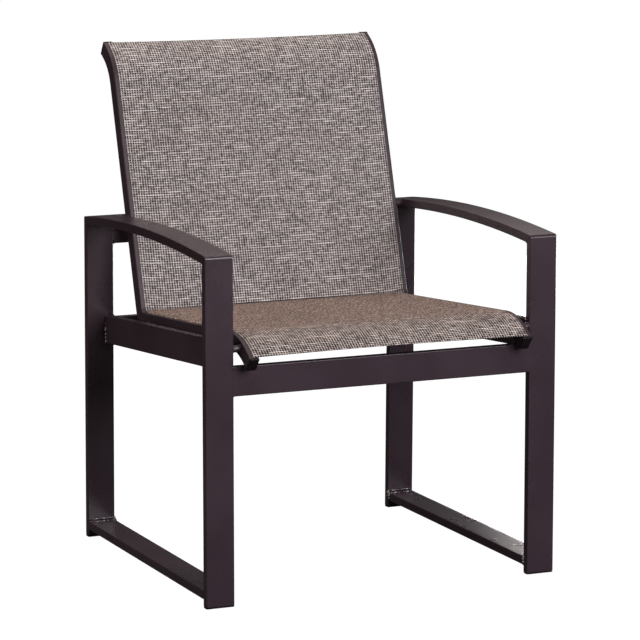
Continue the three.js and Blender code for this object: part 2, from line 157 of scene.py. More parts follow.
def flat_section(width, thickness, corner, steps=5, margin=0.0012):
    """The outline of a flat tube, as points u across it and w through it: a rectangle with quarter circles for
    corners, and a point on each flat just before and after a corner, which keeps the flats' shading flat."""
    rows = []
    for u, w, first in ((1, -1, -pi / 2), (1, 1, 0), (-1, 1, pi / 2), (-1, -1, pi)):
        angles = np.linspace(first, first + pi / 2, steps + 1)
        centre = [u * (width / 2 - corner), w * (thickness / 2 - corner)]
        arc = centre + corner * np.stack([np.cos(angles), np.sin(angles)], 1)
        before = arc[:1] - margin * np.array([-sin(angles[0]), cos(angles[0])])
        after = arc[-1:] + margin * np.array([-sin(angles[-1]), cos(angles[-1])])
        rows += [before, arc, after]
    return np.concatenate(rows)


def side_path(y, z, heading, legs):
    """A line in the side view, as a function that gives y, z and heading at any distances along it. Each leg is a
    length and the angle that it turns through, on an arc whose radius is the length over the angle, or on a
    straight line where the angle is 0. The first and the last leg run on past the ends."""
    spans = []
    start = -np.inf
    distance = 0.0

    def ahead(span, s):
        y, z, heading, bend, since = span
        turned = heading + bend * (s - since)
        if bend == 0:
            return y + (s - since) * cos(heading), z + (s - since) * sin(heading), turned
        return y + (np.sin(turned) - sin(heading)) / bend, z - (np.cos(turned) - cos(heading)) / bend, turned

    for length, turn in legs:
        span = (y, z, heading, turn / length, distance)
        spans.append((start, span))
        distance += length
        y, z, heading = (float(value) for value in ahead(span, distance))
        start = distance

    def at(s):
        s = np.asarray(s, float)
        found = [np.zeros_like(s)] * 3
        for since, span in spans:
            values = ahead(span, s)
            found = [np.where(s >= since, value, old) for value, old in zip(values, found)]
        return found

    return at


def carry(path, x, section, s):
    """A section carried along a side path: u runs along X, and w square to the path, up from a level one."""
    y, z, heading = path(s)
    u, w = section[..., 0], section[..., 1]
    y, z = y - w * np.sin(heading), z + w * np.cos(heading)
    return np.stack([x + u + 0 * y, y, z], -1)


def meet(path, section, point, square, guess, nudge=1e-4):
    """How far along a path each line of a section meets the plane through a point, by six of Newton's steps."""
    s = np.full(len(section), guess)
    for _ in range(6):
        gap, beyond = ((carry(path, 0, section, d)[:, 1:] - point) @ square for d in (s, s + nudge))
        s = s - nudge * gap / (beyond - gap)
    return s


def round_over(rings, corner, inward, down, radius, drawn_in):
    """Rounds an outer corner in the side view. A point lies p inwards along the top and q down the face from the
    corner, and where it is outside the circle that touches both, it is drawn in to that circle."""
    basis = np.array([inward, down])
    reach = radius - (rings[..., 1:] - corner) @ np.linalg.inv(basis)
    far = np.hypot(reach[..., 0], reach[..., 1])
    limit = radius - drawn_in
    outside = (reach > 0).all(-1) & (far > limit)
    reach = reach * np.where(outside, limit / far, 1)[..., None]
    return np.concatenate([rings[..., :1], corner + (radius - reach) @ basis], -1)


def tube(path, x, width, thickness, start, end, rows=2, rounded=()):
    """Rings of a flat tube's skin between two cuts, each a point, the direction square to it, and a guess of how
    far along it is. Rings stand closer near the ends, and the last ones are smaller, which eases the cut edges."""
    full = flat_section(width, thickness, tube_corner)
    eased = flat_section(width - 2 * cut_ease, thickness - 2 * cut_ease, tube_corner - cut_ease)
    first, last = (meet(path, full, *cut) for cut in (start, end))
    near = np.array([cut_ease, *close_rings]) / np.mean(last - first)
    between = np.linspace(near[-1], 1 - near[-1], rows + 1)[1:-1]
    shares = np.concatenate([near, between, 1 - near[::-1]])[:, None]
    s = np.concatenate([[meet(path, eased, *start)], first + shares * (last - first), [meet(path, eased, *end)]])
    sections = np.concatenate([[eased], np.repeat([full], len(shares), 0), [eased]])
    rings = carry(path, x, sections, s)
    drawn_in = np.zeros((len(rings), 1))
    drawn_in[[0, -1]] = cut_ease
    for corner, inward, down in rounded:
        rings = round_over(rings, corner, inward, down, ground_radius, drawn_in)
    return rings


def skin(rings, joined=False):
    """Points and faces of a closed skin over rings of points: quads between neighbouring rings, and a flat face
    over each end, or the last ring joined to the first."""
    index = np.arange(rings.shape[0] * rings.shape[1]).reshape(rings.shape[:2])
    here = index if joined else index[:-1]
    there = np.roll(index, -1, 0)[: len(here)]
    quads = np.stack([here, np.roll(here, -1, 1), np.roll(there, -1, 1), there], -1).reshape(-1, 4)
    ends = [] if joined else [index[0].tolist(), index[-1].tolist()]
    return rings.reshape(-1, 3), quads.tolist() + ends


def put(name, skins, finish, stands_for=(), sharp=40):
    """Makes one object of several skins, turns its faces outwards, and fixes it to the chair."""
    points, faces, count = [], [], 0
    for part, part_faces in skins:
        points.append(part)
        faces += [[i + count for i in face] for face in part_faces]
        count += len(part)
    mesh = bpy.data.meshes.new(name)
    mesh.from_pydata(np.concatenate(points).tolist(), [], faces)
    work = bmesh.new()
    work.from_mesh(mesh)
    bmesh.ops.recalc_face_normals(work, faces=work.faces)
    work.to_mesh(mesh)
    work.free()
    mesh.shade_smooth()
    mesh.set_sharp_from_angle(angle=radians(sharp))
    mesh.materials.append(finish)
    piece = bpy.data.objects.new(name, mesh)
    bpy.context.scene.collection.objects.link(piece)
    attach(piece, "root")
    if stands_for:
        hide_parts(*stands_for)


def direction(heading):
    """The unit vector in the side view, as y and z, at an angle up from the way to the chair's back."""
    return np.array([cos(heading), sin(heading)])


front_corner = np.array([front_face, arm_front_height])
rear_back = tube_thickness / 2 / cos(rear_lean)
rear_corner = np.array([rear_foot + rear_back - arm_rear_height * tan(rear_lean), arm_rear_height])
arm_chord = hypot(*(rear_corner - front_corner))
arm_top_radius = (arm_chord ** 2 / 4 + arm_rise ** 2) / (2 * arm_rise)
arm_half_angle = asin(arm_chord / 2 / arm_top_radius)
arm_heading = atan2(*(rear_corner - front_corner)[::-1])
arm_start = direction(arm_heading + arm_half_angle)
arm_end = direction(arm_heading - arm_half_angle)
leg_up = direction(pi / 2)
rear_up = direction(pi / 2 + rear_lean)
front_mitre = (leg_up + arm_start) / hypot(*(leg_up + arm_start))
rear_mitre = (arm_end - rear_up) / hypot(*(arm_end - rear_up))
front_round = (front_corner, arm_start, -leg_up)
rear_round = (rear_corner, -arm_end, -rear_up)
foot_cut = (np.array([0, foot_height]), leg_up, 0.0)

for side, sign in sides.items():
    path = side_path(front_face + tube_thickness / 2, foot_height, pi / 2, [(1, 0)])
    top_cut = (front_corner - front_mitre * weld_gap / 2, front_mitre, arm_front_height)
    rings = tube(path, sign * leg_x, tube_width, tube_thickness, foot_cut, top_cut, leg_rows, [front_round])
    put(f"{side}_front_leg_tube", [skin(rings)], bronze_coat, [f"{side}_front_leg"])
    path = side_path(rear_foot - foot_height * tan(rear_lean), foot_height, pi / 2 + rear_lean, [(1, 0)])
    top_cut = (rear_corner + rear_mitre * weld_gap / 2, rear_mitre, arm_rear_height)
    rings = tube(path, sign * leg_x, tube_width, tube_thickness, foot_cut, top_cut, leg_rows, [rear_round])
    put(f"{side}_rear_leg_tube", [skin(rings)], bronze_coat, [f"{side}_rear_leg"])

# The arms: the same aluminium tube, bent on the flat to a long low bow. Each is mitred at both ends, stands on
# its two legs, and is welded to them all round before the corners are ground.
arm_rows = 48
arm_middle_radius = arm_top_radius - tube_thickness / 2
arm_centre = front_corner - arm_top_radius * np.array([-arm_start[1], arm_start[0]])
arm_begin = arm_centre + arm_middle_radius * np.array([-arm_start[1], arm_start[0]])
arm_path = side_path(
    *arm_begin,
    arm_heading + arm_half_angle,
    [(2 * arm_half_angle * arm_middle_radius, -2 * arm_half_angle)],
)
for side, sign in sides.items():
    start = (front_corner + front_mitre * weld_gap / 2, front_mitre, 0.0)
    end = (rear_corner - rear_mitre * weld_gap / 2, rear_mitre, arm_chord)
    corners = [front_round, rear_round]
    rings = tube(arm_path, sign * leg_x, tube_width, tube_thickness, start, end, arm_rows, corners)
    put(f"{side}_arm_tube", [skin(rings)], bronze_coat, [f"{side}_arm"])

# The runners, flat tube laid level near the floor, and the side rails, the same tube on edge under the seat.
# Both are butted between a front and a rear leg.
seat_slope = radians(4.4)
runner_low, runner_high = (np.array(corner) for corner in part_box("right_runner"))
side_rail_low, side_rail_high = (np.array(corner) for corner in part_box("right_side_rail"))
rear_normal = direction(rear_lean)
rear_leg_front = np.array([rear_foot, 0]) - rear_normal * (tube_thickness / 2 + weld_gap)
leg_cut = (np.array([runner_low[1], 0]), direction(0), 0.0)
rear_cut = (rear_leg_front, rear_normal, runner_high[1] - runner_low[1])
side_rail_x = (side_rail_low[0] + side_rail_high[0]) / 2
side_rail_height = side_rail_high[2] - tube_width / 2 / cos(seat_slope)
runner_height = (runner_low[2] + runner_high[2]) / 2
for side, sign in sides.items():
    path = side_path(runner_low[1], runner_height, 0, [(1, 0)])
    rings = tube(path, sign * leg_x, tube_width, tube_thickness, leg_cut, rear_cut, leg_rows)
    put(f"{side}_runner_tube", [skin(rings)], bronze_coat, [f"{side}_runner"])
    path = side_path(side_rail_low[1], side_rail_height, -seat_slope, [(1, 0)])
    rings = tube(path, sign * side_rail_x, tube_thickness, tube_width, leg_cut, rear_cut, leg_rows)
    put(f"{side}_side_rail_tube", [skin(rings)], bronze_coat, [f"{side}_side_rail"])

# The crossbars: three tubes on edge between the two sides, flush with the legs that carry them. The front one's
# welds are ground flat, so its faces run on into the legs'.
crossbars = {}
middle_rings = np.linspace(-0.25, 0.25, 7)  # where they stand along X


def crossbar(middle, up, reach):
    """Rings of a crossbar's skin: a flat section whose width runs up, carried along X to one reach each way."""
    full = flat_section(tube_width, tube_thickness, tube_corner)
    eased = flat_section(tube_width - 2 * cut_ease, tube_thickness - 2 * cut_ease, tube_corner - cut_ease)
    x = np.concatenate([[-reach, cut_ease - reach], middle_rings, [reach - cut_ease, reach]])
    sections = np.concatenate([[eased], np.repeat([full], len(x) - 2, 0), [eased]])
    back = np.array([up[1], -up[0]])
    places = middle + sections[..., :1] * up + sections[..., 1:] * back
    return np.concatenate([np.broadcast_to(x[:, None, None], places.shape[:2] + (1,)), places], -1)


for name, up, reach in (
    ("front_crossbar", leg_up, inner_x + tube_corner),
    ("rear_crossbar", rear_up, inner_x - weld_gap),
    ("upper_back_crossbar", rear_up, inner_x - weld_gap),
):
    low, high = (np.array(corner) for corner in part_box(name))
    crossbars[name] = (low[1:] + high[1:]) / 2
    rings = crossbar(crossbars[name], up, reach)
    put(f"{name}_tube", [skin(rings)], bronze_coat, [name])

# The welds. Each butted end has a bead of overlapping puddles round it, coated with the frame, and the inner
# corners that carry load have a broad hollow fillet.
puddle_pitch = 0.0082
puddle_low = 0.62  # a bead's radius between puddles, as a share, like the next three
puddle_swell = 0.46
puddle_drift = 0.7
bead_drift = 0.1
drift_waves = (5, 7)  # whole waves along a bead: of where its puddles lie, and of its radius
drift_starts = (70, 90)  # radians per metre of where the bead begins, for the same two
bead_blunt = 0.01  # the square of what is left of an open bead at its very end, as a share
bead_step = 0.0006
bead_sides = 10
runner_bead = 0.0027
side_rail_bead = 0.0022
crossbar_bead = 0.0019
bead_inset = 0.0015  # how far beads and narrow fillets stop short of a tube's edge
front_pass = (0.0, -0.0002)  # a runner's bead, behind the leg's face and over the runner
upper_pass = (0.0006, 0.0034)
lower_pass = (-0.0042, -0.0006)
rail_bite = 0.0005  # how far a side rail's rear bead lies in the leg
face_sink = 0.0012
fillet_tail = 0.003
fillet_end = 0.55  # a fillet's size at its very ends, as a share
fillet_root = 0.05  # how far a fillet lies inside the corner, as a share of its size
ripple_pitch = 0.0036
ripple_share = 0.03
wide_inset = 0.002
runner_fillet = 0.005
side_rail_fillet = 0.0075
side_rail_fillet_bite = 0.0004
arm_fillet = 0.011
arm_fillet_stretch = 1.7
crossbar_fillet = 0.0042
upper_back_fillet = 0.006
over_fillet = 0.0035
weld_coat = coat("weld_coat", smooth=0.14, rough=0.22, index=1.7, shine=0.9)


def spread(points, step, closed):
    """Points at equal steps along a line through the given ones, how far along each is, and the line's length."""
    if closed:
        points = np.concatenate([points, points[:1]])
    run = np.concatenate([[0], np.cumsum(np.linalg.norm(np.diff(points, axis=0), axis=1))])
    count = int(run[-1] / step)
    marks = np.linspace(0, run[-1], count + 1)[: count if closed else None]
    return np.stack([np.interp(marks, run, points[:, axis]) for axis in range(3)], 1), marks, run[-1]


def bead(points, square, radius, closed=True):
    """Rings of a weld bead: a circle carried along a flat line, whose radius swells with each puddle, drifts in
    whole waves from a start set by the bead's place, and falls off on a quarter circle at an open bead's ends."""
    line, run, length = spread(points, bead_step, closed)
    forward = np.roll(line, -1, 0) - np.roll(line, 1, 0) if closed else np.gradient(line, axis=0)
    forward /= np.linalg.norm(forward, axis=1)[:, None]
    puddles = round(length / puddle_pitch)
    place_drift, size_drift = (
        np.sin(run * 2 * pi * waves / length + place * start)
        for waves, place, start in zip(drift_waves, points[0, [0, 2]], drift_starts)
    )
    swell = puddle_swell * np.abs(np.sin(pi * puddles * run / length + puddle_drift * place_drift))
    size = puddle_low + swell + bead_drift * size_drift
    if not closed:
        tail = np.clip(np.minimum(run, length - run) / radius, 0, 1)
        size = size * np.sqrt(1 - (1 - tail) ** 2 + bead_blunt)
    angles = np.linspace(0, 2 * pi, bead_sides, endpoint=False)[None, :, None]
    across = np.cross(forward, square)
    turned = np.cos(angles) * across[:, None] + np.sin(angles) * np.asarray(square, float)
    return line[:, None] + radius * size[:, None, None] * turned


def fillet(corner, first, second, across, size):
    """Rings of a broad weld in an inner corner: its section runs along both faces and is hollow between them, on
    a quarter circle, and is carried across, where it ripples a little and falls off at its ends."""
    length = np.linalg.norm(across)
    full = length - fillet_tail  # where the far end starts to fall off
    t = np.concatenate([np.linspace(0, fillet_tail, 6), np.linspace(fillet_tail, full, 24)[1:-1],
                        np.linspace(full, length, 6)])
    tail = np.clip(np.minimum(t, length - t) / fillet_tail, 0, 1)
    shares = fillet_end + (1 - fillet_end) * np.sqrt(1 - (1 - tail) ** 2)
    sizes = size * shares * (1 + ripple_share * np.sin(t * 2 * pi / ripple_pitch))
    angles = -pi / 2 - np.linspace(0, pi / 2, 8)
    hollow = 1 + np.stack([np.cos(angles), np.sin(angles)], 1)
    section = np.concatenate([[[-fillet_root, -fillet_root], [1, -fillet_root]], hollow, [[-fillet_root, 1]]])
    flat = section[None] * sizes[:, None, None]
    middle = corner + (t / length - 0.5)[:, None] * across
    return middle[:, None] + flat[..., :1] * first + flat[..., 1:] * second


def in_side_view(point, x=0.0):
    """A y and z of the side view as a point in space at an x, or as a direction where the x is 0."""
    return np.array([x, point[0], point[1]])


def outline(section, middle, u_way, w_way):
    """A section's outline as points in space: its middle, and u and w along two directions from there."""
    return middle + section[:, :1] * u_way + section[:, 1:] * w_way


across_x = np.array([1.0, 0, 0])
backward, forward, downward = (in_side_view(way) for way in ((1, 0), (-1, 0), (0, -1)))
edge_outline = flat_section(tube_thickness, tube_width, tube_corner, 3)
wide = across_x * (tube_width - 2 * wide_inset)
narrow = across_x * (tube_thickness - 2 * bead_inset)
runner_under = runner_height - tube_thickness / 2
slope_up = in_side_view(direction(pi / 2 - seat_slope))
rear_y = side_rail_high[1]
rear_top = side_rail_height + tube_width / 2 / cos(seat_slope) - (rear_y - side_rail_low[1]) * tan(seat_slope)
arm_under = (leg_back, arm_front_height + tube_thickness * arm_start[1] - tube_thickness / arm_start[0])
for side, sign in sides.items():
    x = sign * leg_x
    beads, fillets = [], []
    # Over the runner's ends and down their inner sides: one pass in front, and two behind, up the leg and along
    for face, (behind, over), square in (
        (leg_back, front_pass, direction(0)),
        (rear_leg_front[0], upper_pass, rear_normal),
        (rear_leg_front[0], lower_pass, rear_normal),
    ):
        corner = np.array([inner_x * sign, face + behind, runner_high[2] + over])
        outer = sign * (tube_width - bead_inset)
        line = corner + np.array([[outer, 0, 0], [0, 0, 0], [0, 0, -tube_thickness]])
        beads.append(bead(line, in_side_view(square), runner_bead, False))
    # Round the side rail's two ends
    for y, square in ((leg_back, direction(0)), (rear_y + rail_bite, rear_normal)):
        height = side_rail_height - (y - side_rail_low[1]) * tan(seat_slope)
        ring = outline(edge_outline, in_side_view((y, height), sign * side_rail_x), across_x, slope_up)
        beads.append(bead(ring, in_side_view(square), side_rail_bead))
    # Fillets under the runner, over the side rail, and under the arm
    front_foot = in_side_view((leg_back, runner_under), x)
    rear_foot_corner = in_side_view((rear_leg_front[0], runner_under), x)
    side_rail_corner = in_side_view((rear_y + side_rail_fillet_bite, rear_top), sign * side_rail_x)
    down_rail = in_side_view(-direction(-seat_slope))
    along_arm = in_side_view(arm_start) * arm_fillet_stretch
    fillets = [
        fillet(front_foot, backward, downward, wide, runner_fillet),
        fillet(rear_foot_corner, forward, downward, wide, runner_fillet),
        fillet(side_rail_corner, down_rail, in_side_view(rear_up), narrow, side_rail_fillet),
        fillet(in_side_view(arm_under, x), along_arm, downward, wide, arm_fillet),
    ]
    put(f"{side}_weld_beads", [skin(rings, True) for rings in beads], weld_coat)
    put(f"{side}_weld_fillets", [skin(rings) for rings in fillets], bronze_coat)

for name, centre in crossbars.items():
    up = leg_up if name == "front_crossbar" else rear_up
    back = np.array([up[1], -up[0]])
    welds = []
    for sign in sides.values():
        x = sign * inner_x
        under = in_side_view(centre - up * tube_width / 2, x)
        over = in_side_view(centre + up * tube_width / 2, x)
        inward = np.array([-sign, 0.0, 0])
        deep = in_side_view(back) * (tube_thickness - 2 * bead_inset)
        size = upper_back_fillet if name == "upper_back_crossbar" else crossbar_fillet
        welds.append(fillet(under, inward, in_side_view(-up), deep, size))
        if name != "upper_back_crossbar":
            welds.append(fillet(over, inward, in_side_view(up), deep, over_fillet))
        for face in (1,) if name == "front_crossbar" else (-1, 1):
            surface = in_side_view(centre + back * face * (tube_thickness / 2 - face_sink), x)
            reach = in_side_view(up) * (tube_width / 2 - 2 * bead_inset)
            line = np.stack([surface - reach, surface + reach])
            welds.append(bead(line, in_side_view(back), crossbar_bead, False))
    put(f"{name}_welds", [skin(rings) for rings in welds], bronze_coat)

# The sling rails: extrusions with an open channel along one face, bent as one piece to the chair's profile: a
# curl before the seat, the seat, a tight bend, the back, and a roll over its top.
rail_width = 0.017
rail_depth = 0.027
rail_wall = 0.0018
rail_corner = 0.0015
slot_width = 0.003
channel_radius = 0.0038
back_lean = radians(17.1)
corner_radius = 0.01
curl_radius = 0.129
curl_turn = radians(43.4)
curl_tail = 0.003
back_length = 0.4156
roll_radius = 0.1016
roll_turn = radians(41)
roll_tail = 0.0138
trial_seat = 0.4
face_margin = 0.0008  # how far before a corner a point keeps a flat's shading flat, and on the sides the next
side_margin = 0.0007

rail_low, rail_high = (np.array(corner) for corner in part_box("right_sling_rail"))
rail_x = (rail_low[0] + rail_high[0]) / 2
corner_turn = pi / 2 - back_lean + seat_slope
slot_half_angle = asin(slot_width / 2 / channel_radius)
channel_drop = rail_wall + channel_radius * cos(slot_half_angle)


def profile_legs(seat, bend_radius):
    """The legs of the chair's profile, from the front up, with the tight bend at a given radius."""
    trim = bend_radius * tan(corner_turn / 2)
    return [
        (curl_tail, 0),
        (curl_radius * curl_turn, -curl_turn),
        (seat - trim, 0),
        (bend_radius * corner_turn, corner_turn),
        (back_length - trim, 0),
        (roll_radius * roll_turn, -roll_turn),
        (roll_tail, 0),
    ]


def path_end(path, legs):
    """The y, z and heading at the end of a path of the given legs."""
    y, z, heading = path(sum(length for length, _ in legs))
    return float(y), float(z), float(heading)


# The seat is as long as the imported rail's box leaves it, and the whole hangs from the rail's highest point
curl_heading = curl_turn - seat_slope
roll_heading = pi / 2 - back_lean - roll_turn
trial = profile_legs(trial_seat, corner_radius)
trial_end = path_end(side_path(rail_low[1], 0, curl_heading, trial), trial)
seat_length = trial_seat + (rail_high[1] - rail_depth * sin(roll_heading) - trial_end[0]) / cos(seat_slope)
rail_legs = profile_legs(seat_length, corner_radius)
trial_end = path_end(side_path(rail_low[1], 0, curl_heading, rail_legs), rail_legs)
rail_start_height = rail_high[2] - trial_end[1]
rail_path = side_path(rail_low[1], rail_start_height, curl_heading, rail_legs)
bend_rows = [2, 30, 24, 10, 24, 26, 3]


def leg_marks(legs, rows):
    """Distances along a path, at equal steps in each leg, with as many steps as rows says."""
    marks, since = [np.zeros(1)], 0.0
    for (length, _), count in zip(legs, rows):
        marks.append(since + length * np.arange(1, count + 1) / count)
        since += length
    return np.concatenate(marks)


def arc(x, y, radius, first, last, steps):
    """Points on a circle's arc round x and y, at equal steps from a first angle to a last."""
    angles = np.linspace(first, last, steps + 1)
    return np.stack([x + radius * np.cos(angles), y + radius * np.sin(angles)], 1)


def rail_section():
    """The rail's outline, with the middle of its slotted face at the origin: down into the channel and out again,
    then round the outside."""
    u = rail_width / 2 - rail_corner
    low = rail_corner - rail_depth
    upper, lower = -rail_corner - face_margin, low + rail_corner - side_margin
    return np.concatenate([
        [[slot_width / 2, 0]],
        arc(0, -channel_drop, channel_radius, pi / 2 - slot_half_angle, slot_half_angle - 3 * pi / 2, 14),
        [[-slot_width / 2, 0], [face_margin - u, 0]],
        arc(-u, -rail_corner, rail_corner, pi / 2, pi, 4),
        [[-rail_width / 2, upper], [-rail_width / 2, lower]],
        arc(-u, low, rail_corner, pi, 3 * pi / 2, 4),
        [[face_margin - u, -rail_depth], [u - face_margin, -rail_depth]],
        arc(u, low, rail_corner, 3 * pi / 2, 2 * pi, 4),
        [[rail_width / 2, lower], [rail_width / 2, upper]],
        arc(u, -rail_corner, rail_corner, 0, pi / 2, 4),
        [[u - face_margin, 0]],
    ])


rail_coat = coat("rail_coat", smooth=0.46, rough=0.50, shine=0.25)
rail_marks = leg_marks(rail_legs, bend_rows)[:, None]
for side, sign in sides.items():
    rings = carry(rail_path, sign * rail_x, rail_section(), rail_marks)
    put(f"{side}_rail_extrusion", [skin(rings)], rail_coat, [f"{side}_sling_rail"])

# The studs: short round spacers welded between the sling rails and the frame, at the front legs, the side rails
# and the arms, each with a small bead round both ends.
stud_bead = 0.0016
stud_turns = np.linspace(0, 2 * pi, 28, endpoint=False)
stud_circle = np.stack([0 * stud_turns, np.cos(stud_turns), np.sin(stud_turns)], 1)
for side in sides:
    for place in ("front", "seat", "arm"):
        low, high = (np.array(corner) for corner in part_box(f"{side}_{place}_stud"))
        middle = (low + high) / 2 * [0, 1, 1]
        radius = (high[2] - low[2]) / 2
        rings = np.stack([middle + [end, 0, 0] + radius * stud_circle for end in (low[0], high[0])])
        beads = [bead(ring, across_x, stud_bead) for ring in rings]
        skins = [skin(rings)] + [skin(ring, True) for ring in beads]
        put(f"{side}_{place}_stud_turned", skins, bronze_coat, [f"{side}_{place}_stud"])

# The sling: one sheet of vinyl-coated polyester mesh, stretched across from channel to channel. Warp yarns run
# up the chair and weft yarns across it, and thick pale and thin dark lengths in the weft give it its tweed look.
fabric_thickness = 0.0012
slide_gap = 0.0003
pocket_radius = 0.003
turn_radius = 0.0011
fold_lift = 0.0018  # how far the fold rises in the middle, where the stretched back draws it up
fold_radius = 0.002
top_bow = 0.0038  # how far the hems draw in towards their middle
front_bow = 0.003
hem_setback = 0.0008
hem_reach = 0.06  # how far from a hem its bow has faded out
pinch = 0.0004  # from the top of a pocket to where the sheet runs straight up the slot
edge_share = 0.35  # how much the columns crowd towards the rails
span_columns = 45
rail_likeness = 8  # the power of how soon the middle's sharp fold gives way to the rails' round bend
fabric_rows = [2, 30, 60, 8, 60, 26, 3]
warp_pitch = 0.00472
weft_pitch = 0.00432

neck_height = 0.5 * fabric_thickness + slide_gap
half = rail_x


def sling_section():
    """The sheet's middle line across the chair, as points x and height over the slotted face: round the left
    spline, up through the slot, over, across, and the same on the right."""
    loop_half_angle = asin(0.3 * fabric_thickness / pocket_radius)
    loop = arc(0, -channel_drop, pocket_radius, pi / 2 + loop_half_angle, 5 * pi / 2 - loop_half_angle, 16)
    heights = np.linspace(pocket_radius + pinch - channel_drop, -turn_radius, 4)
    up = np.stack([np.zeros(len(heights)), heights], 1)
    over = arc(turn_radius, neck_height - turn_radius, turn_radius, pi, pi / 2, 6)
    left = np.concatenate([loop[1:], up, over]) + [-half, 0]
    even = np.linspace(-1, 1, span_columns + 2)[1:-1]
    reach = (half - turn_radius) * (edge_share * np.sin(even * pi / 2) + (1 - edge_share) * even)
    middle = np.stack([reach, np.full(span_columns, neck_height)], 1)
    right = left[::-1] * [-1, 1]
    return np.concatenate([left, middle, right])


section = sling_section()
across = np.concatenate([[0], np.cumsum(np.hypot(*np.diff(section, axis=0).T))])
across -= across[-1] / 2
inside = np.clip(np.abs(section[:, 0]) / half, 0, 1)
mark = leg_marks(rail_legs, fabric_rows)
sharp_legs = profile_legs(seat_length, fold_radius)
sharp_path = side_path(rail_low[1], rail_start_height, curl_heading, sharp_legs)
sharp_mark = leg_marks(sharp_legs, fabric_rows)
total = mark[-1]
near_front = np.clip(1 - mark / hem_reach, 0, 1)[:, None]
near_top = np.clip(1 - (total - mark) / hem_reach, 0, 1)[:, None]
bow = 1 - inside ** 2
shift = near_front * (hem_setback + front_bow * bow) - near_top * (hem_setback + top_bow * bow)
y, z, heading = rail_path(mark[:, None] + shift)
sharp_y, sharp_z, _ = sharp_path(sharp_mark[:, None] + shift)
seat_start, fold_start = (sum(length for length, _ in rail_legs[:n]) for n in (2, 3))
fold_end, roll_start = (sum(length for length, _ in rail_legs[:n]) for n in (4, 5))
fold = (fold_start + fold_end) / 2
lift = np.interp(mark, [seat_start, fold, roll_start], [0, fold_lift, 0])[:, None]
free = 1 - inside ** rail_likeness
y = (1 - free) * y + free * sharp_y
z = (1 - free) * z + free * (sharp_z + lift)
height = section[:, 1]
sheet = np.stack([section[:, 0] + 0 * y, y - height * np.sin(heading), z + height * np.cos(heading)], -1)

rows, columns = sheet.shape[:2]
index = np.arange(rows * columns).reshape(rows, columns)
quads = np.stack([index[:-1, :-1], index[:-1, 1:], index[1:, 1:], index[1:, :-1]], -1).reshape(-1, 4)
mesh = bpy.data.meshes.new("sling")
mesh.from_pydata(sheet.reshape(-1, 3).tolist(), [], quads.tolist())
weave_places = np.stack([np.broadcast_to(across, (rows, columns)), mark[:, None] + shift], -1).reshape(-1, 2)
weave_map = mesh.uv_layers.new(name="weave")
corners = np.zeros(len(mesh.loops), int)
mesh.loops.foreach_get("vertex_index", corners)
weave_map.data.foreach_set("uv", weave_places[corners].astype(np.float32).ravel())
mesh.shade_smooth()

sling_weave, tree, shader = new_finish("sling_weave", Roughness=0.7, IOR=1.45, Specular_IOR_Level=0.25)
yarn_dark = (0.08, 0.07, 0.068, 1)
yarn_mid = (0.46, 0.4255, 0.4145, 1)
# the pale yarns' own colour, also used for the painted highlight along each warp yarn
pale_yarn_and_highlight = (0.862, 0.822, 0.80, 1)
yarn_brown = (0.35, 0.255, 0.21, 1)
# painted shade: the dark seen through the weave's pinholes, also used for the shadow line in the crease
pinhole_shade = (0.016, 0.012, 0.011, 1)
# the seat's browner, darker tint: partly painted shade, for the shade the seat lies in under the back, and partly
# its look at a grazing angle
seat_tint_and_shade = (0.88, 0.712, 0.626, 1)
# the curl's tone is painted to stand in for the light that falls on it
curl_painted_tone = (1.12, 1.09, 1.065, 1)
blotch_tint = (0.75, 0.68, 0.64, 1)
blotch_scale = 14.0
row_run = 28.0  # how fast a row's tone changes along it, per metre, like the next five
weft_run = 50.0
warp_run = 30.0
band_run = 2.0
slub_run = 100.0
long_slub_run = 20.0
yarn_step = 3.71  # how far apart two neighbouring yarns are read in the noise
warp_share = 0.2
weft_share = 0.3
chance_share = 0.3
least_opening = 0.86
opening_range = 0.22
hole_shade_strength = 0.97
# where the seat's painted shade and brown tint come in
seat_fade = (seat_start - 0.065, seat_start + 0.012)  # where along the sheet the seat's brown comes in
# where the curl's painted tone and harder contrast go out
curl_fade = (seat_start - 0.045, seat_start - 0.01)  # where the curl's paler, harder look goes out
fold_fade = (fold - 0.001, fold + 0.001)
grain_scale = (900, 110, 1)
crease_fade = (0.0078, 0.0086)  # how far from the fold its shadow ends
yarn_curve = 2.6  # radians per pitch, so that a yarn falls off to its sides as a cosine
hole_relief = 0.6
weave_depth = 0.0007

spot = add_node(tree, "ShaderNodeUVMap", uv_map="weave").outputs[0]
split = add_node(tree, "ShaderNodeSeparateXYZ", {0: spot})
u, v = split.outputs[0], split.outputs[1]
column = calculate(tree, "DIVIDE", u, warp_pitch)
row = calculate(tree, "DIVIDE", v, weft_pitch)
warp_number = calculate(tree, "ROUND", column)
weft_number = calculate(tree, "ROUND", row)
from_warp = calculate(tree, "ABSOLUTE", calculate(tree, "SUBTRACT", column, warp_number))
from_weft = calculate(tree, "ABSOLUTE", calculate(tree, "SUBTRACT", row, weft_number))


def yarn_tone(number, along, run, seed):
    """How pale a yarn is at a place along it, from 0 to 1: one noise for each yarn, drawn out lengthways."""
    place = {0: calculate(tree, "MULTIPLY", along, run), 1: calculate(tree, "MULTIPLY", number, yarn_step), 2: seed}
    return noise(tree, add_node(tree, "ShaderNodeCombineXYZ", place).outputs[0], 1.0, 1.0)


